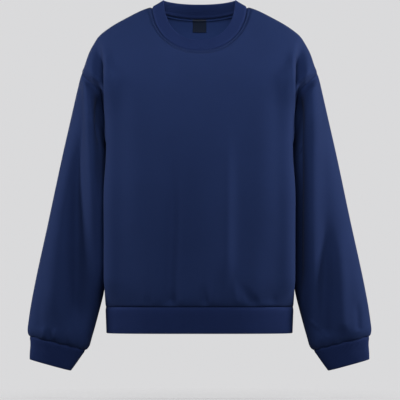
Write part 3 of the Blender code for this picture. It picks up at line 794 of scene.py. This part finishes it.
def sleeve_walls(name):
    """Outer and inner points of a sleeve: rows from the armhole down, columns round it.

    Each section is a rounded oval between the sleeve's two outlines. The first is pulled in to
    the armhole seam, and the cloth swells out of it again below. Small gathers,
    sin(13a + 1.7 sin 3a), stand beside the cuff seam and die out above it.
    """
    mirror = np.array((1 if name == "right" else -1, 1, 1))
    turn = np.arange(SLEEVE_COLUMNS) / SLEEVE_COLUMNS
    along = np.linspace(0, 1, SLEEVE_ROWS + 1)
    along = (along - SLEEVE_CROWDING * np.sin(2 * np.pi * along) / np.pi)[:, None]
    section = {column: curve(along) for column, curve in sleeve_section.items()}
    outer_point = points(outer_outline(section["outer"]), section["y"], section["outer"])
    inner_point = points(inner_outline(section["inner"]), section["y"], section["inner"])
    forward, outward = rounded(2 * np.pi * turn, section["square"])
    grid = (outer_point + inner_point) / 2 + (outer_point - inner_point) / 2 * outward[..., None]
    grid[..., 1] -= section["half_depth"] * forward
    front_share = 1 - 2 * turn
    in_front = (front_share > 0)[:, None]
    up_front, up_back = np.clip(front_share, 0, 1), np.clip(-front_share, 0, 1)
    seam = np.where(in_front, armhole_point(up_front, FRONT), armhole_point(up_back, BACK))
    grid = pulled(grid, grid[:1], seam[None], SLEEVE_REACH)
    normal = grid_normals(grid, closed=True)
    rise = np.where(normal[..., 1] < 0,
                    fold_rise(grid[..., 0], grid[..., 2], SLEEVE_FRONT_FOLDS[name]),
                    fold_rise(grid[..., 0], grid[..., 2], SLEEVE_BACK_FOLDS[name]))
    rise *= np.abs(normal[..., 1]) * clear_of(grid, grid[:1])
    angle = 2 * np.pi * turn
    away = np.linalg.norm(grid - grid[-1:], axis=-1)
    drift, waves = GATHER_DRIFT
    gather = np.sin(GATHERS * angle + drift * np.sin(waves * angle))
    rise += GATHER_RISE * np.exp(-away / GATHER_REACH) * gather
    rise -= rolled_in(grid, grid[-1:], RIB_SEAM)
    roll = np.where(in_front, armhole_roll(grid, up_front, FRONT), armhole_roll(grid, up_back, BACK))
    outer = grid + rise[..., None] * normal + roll
    outer[0] -= np.array(ARMHOLE_OUTWARD) * SEAM_TUCK
    inner = outer - CLOTH * normal
    return outer * mirror, inner * mirror


for side in ("left", "right"):
    sleeve_outer, sleeve_inner = sleeve_walls(side)
    if side == "left":
        sleeve_outer, sleeve_inner = sleeve_outer[:, ::-1], sleeve_inner[:, ::-1]
    sleeve = wall_mesh("sleeve_cloth_" + side, sleeve_outer, sleeve_inner, closed=True)
    dress(sleeve, fleece, "sleeve_" + side)


# Rib trims: collar, cuffs and waistband ----------------------------------------------------------
# Rib knit, cut on the double and folded along its outer edge, so that a fold shows there and the
# cut edges are hidden in the seam. Two fine ribs stand for each of the solid's.
RIB_CLOTH = 2.4
RIB_RISE = 0.7
RIB_ROUND = 0.7              # the power that makes a rib round and its grooves narrow
RIB_LEVEL = 0.5              # the height on a rib that stays on the form
POINTS_PER_RIB = 6
FLAT_ROWS = 8
FOLD_ROWS = 4
COLLAR_RIBS = 2 * 108
CUFF_RIBS = 2 * 54
HEM_RIBS = 2 * 216
NEAR = 0.02                  # a small step of share, for the slope of a ring

EDGE_HALF_WIDTH = 79.0
EDGE_RISE = 17.5
EDGE_DROPS = (88.6, 8.0)
EDGE_REACHES = (61.0, 48.0)
EDGE_SQUARE = 2.3
COLLAR_BULGE = -0.6          # below 0, so that it is a little hollow
HEM_EDGE = -714.8
HEM_GRIP = 2.2               # how much narrower the waistband is at its edge, on each side

CUFF_COLUMNS = ("along", "outer_x", "outer_z", "inner_x", "inner_z", "y", "half_depth")
CUFF = (
    (0.0, 374.0, -721.9, 249.8, -752.7, -3.0, 38.0),
    (0.33, 371.6, -738.0, 260.0, -766.2, -3.7, 33.5),
    (0.66, 372.8, -756.5, 271.6, -782.4, -4.4, 30.5),
    (1.0, 373.2, -773.0, 283.4, -797.8, -5.0, 28.5),
)
CUFF_SQUARE = 2.5
cuff_section = curves(CUFF_COLUMNS, CUFF)


def folded_rib(name, ring, ribs, seam_roll, mirrored=False):
    """A folded tube of rib knit. ring(turn, share) is its outer line, from the seam (0) to the
    folded edge (1), and turn runs so that across times along faces out.

    The section runs down the outside, round a half circle as thick as the cloth at the fold, and
    back up the inside. Round the tube a rib is |cos(a / 2)|^0.7, a round ridge between two narrow
    grooves, and it dies out where the cloth rolls in to the seam.
    """
    fine = np.linspace(0, 1, CURVE_SAMPLES)
    run = run_along(ring(fine, 0.5))
    count = ribs * POINTS_PER_RIB
    turn = np.interp(np.arange(count) / count * run[-1], run, fine)
    width = np.linalg.norm(ring(turn, 1.0) - ring(turn, 0.0), axis=-1).mean()
    half = RIB_CLOTH / 2
    fold = np.linspace(0, np.pi, FOLD_ROWS + 2)[1:-1]
    flat = np.linspace(0, 1 - half / width, FLAT_ROWS)
    share = np.concatenate((flat, flat[-1] + half / width * np.sin(fold), flat[::-1]))
    depth = np.concatenate((0 * flat, half * (1 - np.cos(fold)), RIB_CLOTH + 0 * flat))
    facing = np.concatenate((1 + 0 * flat, np.cos(fold), -1 + 0 * flat))
    base = np.stack([ring(turn, s) for s in share])
    along = np.stack([ring(turn, s + NEAR) - ring(turn, s - NEAR) for s in share])
    normal = unit(np.cross(np.roll(base, -1, axis=1) - np.roll(base, 1, axis=1), along))
    dip, reach = seam_roll
    seam = np.exp(-(share * width / reach) ** 2)
    ridge = np.abs(np.cos(np.pi * np.arange(count) / POINTS_PER_RIB)) ** RIB_ROUND - RIB_LEVEL
    lift = (RIB_RISE * (1 - seam) * facing)[:, None] * ridge - (dip * seam + depth)[:, None]
    grid = base + lift[..., None] * normal
    if mirrored:
        grid = grid[:, ::-1] * (-1, 1, 1)
    number = np.arange(grid[..., 0].size).reshape(grid.shape[:2])
    number = np.pad(number, ((0, 1), (0, 1)), mode="wrap")
    lengths = cloth_lengths(np.pad(base, ((0, 1), (0, 1), (0, 0)), mode="wrap"))
    return add_piece(name, grid, cells(number), cells(lengths))


def collar_ring(turn, share):
    """Between the neck seam and the folded edge, a little hollow between them."""
    angle = 2 * np.pi * turn
    low = collar_seam(angle)
    edge = neck_curve(angle, EDGE_HALF_WIDTH, EDGE_RISE, EDGE_DROPS, EDGE_REACHES, EDGE_SQUARE)
    rise = edge - low
    outward = unit(np.cross(np.gradient(low, axis=0), rise))
    start = -SEAM_TUCK / np.linalg.norm(rise, axis=-1, keepdims=True)
    place = start + (1 - start) * share
    return low + rise * place + outward * COLLAR_BULGE * 4 * place * (1 - place)


def hem_ring(turn, share):
    """A straight tube under the body that grips a little at its edge."""
    across, forward = rounded(-2 * np.pi * turn, torso["square"](HEM_SEAM))
    front_depth = torso["front"](HEM_SEAM) - HEM_GRIP * share
    back_depth = torso["back"](HEM_SEAM) - HEM_GRIP * share
    half_width = torso["half_width"](HEM_SEAM) - HEM_GRIP * share
    y = -forward * np.where(forward > 0, front_depth, back_depth)
    seam = HEM_SEAM + SEAM_TUCK
    return points(across * half_width, y, seam + (HEM_EDGE - seam) * share)


def cuff_ring(turn, share):
    """An oval between the cuff's outer and inner edges, narrowing to the wrist."""
    section = {column: curve(share) for column, curve in cuff_section.items()}
    outer_point = np.array((section["outer_x"], section["y"], section["outer_z"]))
    inner_point = np.array((section["inner_x"], section["y"], section["inner_z"]))
    forward, outward = rounded(2 * np.pi * turn, CUFF_SQUARE)
    ring = (outer_point + inner_point) / 2 + np.outer(outward, (outer_point - inner_point) / 2)
    ring[:, 1] -= section["half_depth"] * forward
    ring[:, 2] += SEAM_TUCK * (1 - share)
    return ring


# Finer and closer than the fleece, with loops down each rib and little nap
RIB = {
    "colour": (0.0116, 0.0246, 0.0960),
    "roughness": 0.86,
    "wale": 0.0011,
    "course": 0.0012,
    "nap": (800.0, 2.0),
    "cloud": (18.0, 2.0),
    "shares": (0.35, 0.25, 0.4),
    "spread": 0.3,
    "loop_share": 0.7,
    "relief": 0.00025,
    "sheen": 0.04,
}
rib_knit = knit_finish("rib_knit", RIB)

collar = folded_rib("collar", collar_ring, COLLAR_RIBS, COLLAR_SEAM)
dress(collar, rib_knit, "neck_rib")

waistband = folded_rib("waistband", hem_ring, HEM_RIBS, RIB_SEAM)
dress(waistband, rib_knit, "hem_rib")

for side in ("left", "right"):
    cuff = folded_rib("cuff_" + side + "_rib", cuff_ring, CUFF_RIBS, RIB_SEAM, side == "left")
    dress(cuff, rib_knit, "cuff_" + side)


# Sewing ------------------------------------------------------------------------------------------
# The collar seam is pressed down into the body and held by a twin-needle stitch, two close rows of
# navy thread that run all round the neck just below it.
STITCH = 2.6
STITCH_GAP = 0.7
THREAD = 0.42
TWIN_ROWS = (6.4, 9.4)       # below the collar seam
THREAD_RINGS = 6
THREAD_SIDES = 6
THREAD_TIP = 0.03            # how near to its ends a stitch is cut off square
THREAD_SINK = 0.55           # how deep it dips there, in thicknesses


def line_inside(grid, normal, distance):
    """The line across a grid's columns at a distance down from its last row, and its normals."""
    steps = np.linalg.norm(np.diff(grid[::-1], axis=0), axis=-1)
    run = np.pad(np.cumsum(steps, axis=0), ((1, 0), (0, 0)))
    row = np.argmax(run > distance, axis=0)
    column = np.arange(grid.shape[1])
    share = (distance - run[row - 1, column]) / (run[row, column] - run[row - 1, column])
    low, high = grid[::-1][row, column], grid[::-1][row - 1, column]
    return high + (low - high) * share[:, None], normal[::-1][row, column]


def stitched(name, line, normal):
    """A closed row of stitches. Each is a bead of thread along the line: its section a circle that
    shrinks by sqrt(sin) to its ends, where it dips into the cloth."""
    line = np.concatenate((line, line[:1]))
    normal = np.concatenate((normal, normal[:1]))
    run = run_along(line)
    count = int(run[-1] // (STITCH + STITCH_GAP))
    middle = (np.arange(count) + 0.5) * run[-1] / count

    def at(distance, values):
        return np.stack([np.interp(distance, run, values[:, i]) for i in range(3)], axis=-1)

    start, end = at(middle - STITCH / 2, line), at(middle + STITCH / 2, line)
    out = unit(at(middle, normal))
    aside = unit(np.cross(end - start, out))
    share = np.linspace(0, 1, THREAD_RINGS)
    arch = np.sqrt(np.sin(np.pi * np.clip(share, THREAD_TIP, 1 - THREAD_TIP)))
    angle = 2 * np.pi * np.arange(THREAD_SIDES) / THREAD_SIDES
    centre = start[:, None] + (end - start)[:, None] * share[:, None]
    centre = centre + out[:, None] * (THREAD * (arch - THREAD_SINK))[:, None]
    radius = THREAD / 2 * arch[:, None, None]
    ring = radius * (np.cos(angle)[:, None] * out[:, None, None]
                     + np.sin(angle)[:, None] * aside[:, None, None])
    vertices = centre[:, :, None] + ring
    one = np.arange(THREAD_RINGS * THREAD_SIDES).reshape(THREAD_RINGS, THREAD_SIDES)
    sides = cells(np.pad(one, ((0, 0), (0, 1)), mode="wrap"))
    caps = np.concatenate((one[:1, [0, 1, 2, 3]], one[:1, [0, 3, 4, 5]],
                           one[-1:, [3, 2, 1, 0]], one[-1:, [5, 4, 3, 0]]))
    faces = np.concatenate((sides, caps))
    faces = faces[None] + one.size * np.arange(count)[:, None, None]
    return add_piece(name, vertices, faces.reshape(-1, 4))


# Twisted polyester thread, a little glossier than the cloth
THREAD_COLOUR = (0.0100, 0.0200, 0.0620)
THREAD_ROUGHNESS = 0.55
THREAD_SHADES = (0.6, 1.5)
TWIST_SCALE = 2600.0
TWIST_RELIEF = 0.0001

thread = Finish("navy_thread", THREAD_COLOUR, THREAD_ROUGHNESS)
twist = thread.noise(TWIST_SCALE)
thread.set("Base Color", thread.shades(twist, THREAD_COLOUR, *THREAD_SHADES))
thread.raise_by(twist, TWIST_RELIEF)

neck = slice(HALF_COLUMNS - NECK_COLUMNS, HALF_COLUMNS + NECK_COLUMNS + 1)
front_normal = grid_normals(front_outer, closed=False)
back_normal = -grid_normals(back_outer, closed=False)
for number, below in enumerate(TWIN_ROWS):
    ahead, ahead_normal = line_inside(front_outer[:, neck], front_normal[:, neck], below)
    behind, behind_normal = line_inside(back_outer[:, neck], back_normal[:, neck], below)
    line = np.concatenate((ahead, behind[::-1]))
    out = np.concatenate((ahead_normal, behind_normal[::-1]))
    row = stitched("neck_stitches_" + str(number + 1), line, out)
    row.data.materials.append(thread.material)
    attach(row, "root")


# Label -------------------------------------------------------------------------------------------
# A small, bare, dark woven label, sewn in under the back of the collar.
LABEL_HALF_WIDTH = 15.0
LABEL_TOP = -23.5
LABEL_FOOT = -51.7
LABEL_CLOTH = 0.7
LABEL_CLEARANCE = 0.7
LABEL_CURL = 0.9
LABEL_CELLS = 24
CURVE_COLUMN = 4             # the panel's curve is read this many columns from its centre

# Satin-woven tape: fine threads across and along it
LABEL_COLOUR = (0.0105, 0.0190, 0.0450)
LABEL_ROUGHNESS = 0.5
LABEL_SHADES = (0.75, 1.7)
LABEL_THREADS = (0.0003, 0.0004)  # along and across, from one to the next
THREADS_SHARE = 0.6          # of the threads across, in the weave
WEAVE_RELIEF = 0.0001


def label_walls():
    """Outer and inner points of the label: the back panel's inside, a parabola across each level,
    moved in, and curling away a little at its foot."""
    across = np.linspace(-LABEL_HALF_WIDTH, LABEL_HALF_WIDTH, LABEL_CELLS + 1)
    heights = np.linspace(LABEL_FOOT, LABEL_TOP, LABEL_CELLS + 1)
    centre = back_inner[BODY_ROWS:, HALF_COLUMNS]
    beside = back_inner[BODY_ROWS:, HALF_COLUMNS + CURVE_COLUMN]
    y_centre = np.interp(heights, centre[:, 2], centre[:, 1])[:, None]
    y_beside = np.interp(heights, beside[:, 2], beside[:, 1])[:, None]
    x_beside = np.interp(heights, beside[:, 2], beside[:, 0])[:, None]
    y = y_centre + (y_beside - y_centre) * (across / x_beside) ** 2 - LABEL_CLEARANCE
    foot = (LABEL_TOP - heights[:, None]) / (LABEL_TOP - LABEL_FOOT)
    wall = points(across, y - LABEL_CURL * foot**3, heights[:, None])
    return wall - (0, LABEL_CLOTH, 0), wall


woven = Finish("woven_label", LABEL_COLOUR, LABEL_ROUGHNESS)
label_across, label_up = woven.cloth_place()
threads_along = (label_across / LABEL_THREADS[0]).wave() * 0.5 + 0.5
threads_across = (label_up / LABEL_THREADS[1]).wave() * 0.5 + 0.5
weave = threads_across * THREADS_SHARE + threads_along * (1 - THREADS_SHARE)
woven.set("Base Color", woven.shades(weave, LABEL_COLOUR, *LABEL_SHADES))
woven.raise_by(weave, WEAVE_RELIEF)

label_outer, label_inner = label_walls()
label = wall_mesh("label", label_outer, label_inner, closed=False)
dress(label, woven.material, "neck_label")


# Floor and light ---------------------------------------------------------------------------------
# A pale floor that fades into the pale surround. Small soft boxes close in front light the chest,
# and stronger ones stand at the sides and behind. Those on the right are the brighter.
FLOOR_LEVEL = -0.86
FLOOR_RADIUS = 1.3
FLOOR_FADE = (0.25, 1.2)
FLOOR_ROUGHNESS = 0.9
PALE = (0.70, 0.70, 0.71)
SURROUND_LIGHT = (0.08, 0.02)  # from straight below and from straight above

floor_finish = Finish("pale_floor", PALE, FLOOR_ROUGHNESS)
floor_place = floor_finish.node("ShaderNodeTexCoord", None, None, "Object")
reach = floor_finish.node("ShaderNodeVectorMath", {"operation": "LENGTH"}, {0: floor_place}, "Value")
fade = floor_finish.node("ShaderNodeMapRange", {"interpolation_type": "SMOOTHSTEP"},
                         {"Value": reach, "From Min": FLOOR_FADE[0], "From Max": FLOOR_FADE[1]})
clear = floor_finish.node("ShaderNodeBsdfTransparent")
solid = Value(floor_finish, floor_finish.shader.outputs["BSDF"])
blend = floor_finish.node("ShaderNodeMixShader", None, {0: fade, 1: solid, 2: clear})
floor_output = floor_finish.tree.nodes["Material Output"]
floor_finish.put(floor_output.inputs["Surface"], blend)

floor_mesh = bpy.data.meshes.new("floor")
corner = FLOOR_RADIUS
floor_mesh.from_pydata([(-corner, -corner, FLOOR_LEVEL), (corner, -corner, FLOOR_LEVEL),
                        (corner, corner, FLOOR_LEVEL), (-corner, corner, FLOOR_LEVEL)],
                       [], [(0, 1, 2, 3)])
floor_mesh.materials.append(floor_finish.material)
floor = bpy.data.objects.new("floor", floor_mesh)
bpy.context.collection.objects.link(floor)


def softbox(name, place, aim, size, power):
    """A square soft light at a place, turned to face what it lights."""
    data = bpy.data.lights.new(name, "AREA")
    data.shape = "SQUARE"
    data.size = size
    data.energy = power
    lamp = bpy.data.objects.new(name, data)
    lamp.location = place
    towards = np.subtract(aim, place)
    lamp.rotation_mode = "QUATERNION"
    lamp.rotation_quaternion = mathutils.Vector(towards).to_track_quat("-Z", "Y")
    bpy.context.collection.objects.link(lamp)


softbox("chest", (0.0, -1.3, 0.2), (0.0, 0.0, 0.2), 0.6, 5.1)
softbox("top", (0.0, -1.2, 0.45), (0.0, 0.0, 0.2), 0.6, 6.6)
softbox("front_left", (-4.8, -3.2, 0.8), (0.0, 0.0, -0.4), 1.2, 25.0)
softbox("front_right", (4.8, -3.2, 0.8), (0.0, 0.0, -0.4), 1.2, 42.0)
softbox("right", (3.4, 0.0, 0.7), (0.0, 0.0, 0.1), 0.9, 110.0)
softbox("left", (-3.4, 0.0, 0.7), (0.0, 0.0, 0.1), 0.9, 80.0)
softbox("behind", (-1.5, 5.5, 1.5), (0.0, 0.0, -0.35), 1.5, 110.0)

# Seen directly, the surround is an even pale grey. As light it is dim, and dimmer above than below.
world = bpy.data.worlds.new("studio")
world.use_nodes = True
bpy.context.scene.world = world
studio = Shading(world.node_tree)
direction = studio.node("ShaderNodeTexCoord", None, None, "Generated")
height = studio.node("ShaderNodeSeparateXYZ", None, {"Vector": direction}, "Z")
dim = studio.node("ShaderNodeMapRange", None,
                  {"Value": height, "From Min": -1.0,
                   "To Min": SURROUND_LIGHT[0], "To Max": SURROUND_LIGHT[1]})
seen = studio.node("ShaderNodeLightPath", None, None, "Is Camera Ray")
background = studio.tree.nodes["Background"]
studio.put(background.inputs["Strength"], 1.0)
studio.put(background.inputs["Color"], studio.mix(seen, dim, tinted(PALE, 1.0)))

bpy.context.scene.view_settings.view_transform = "Standard"
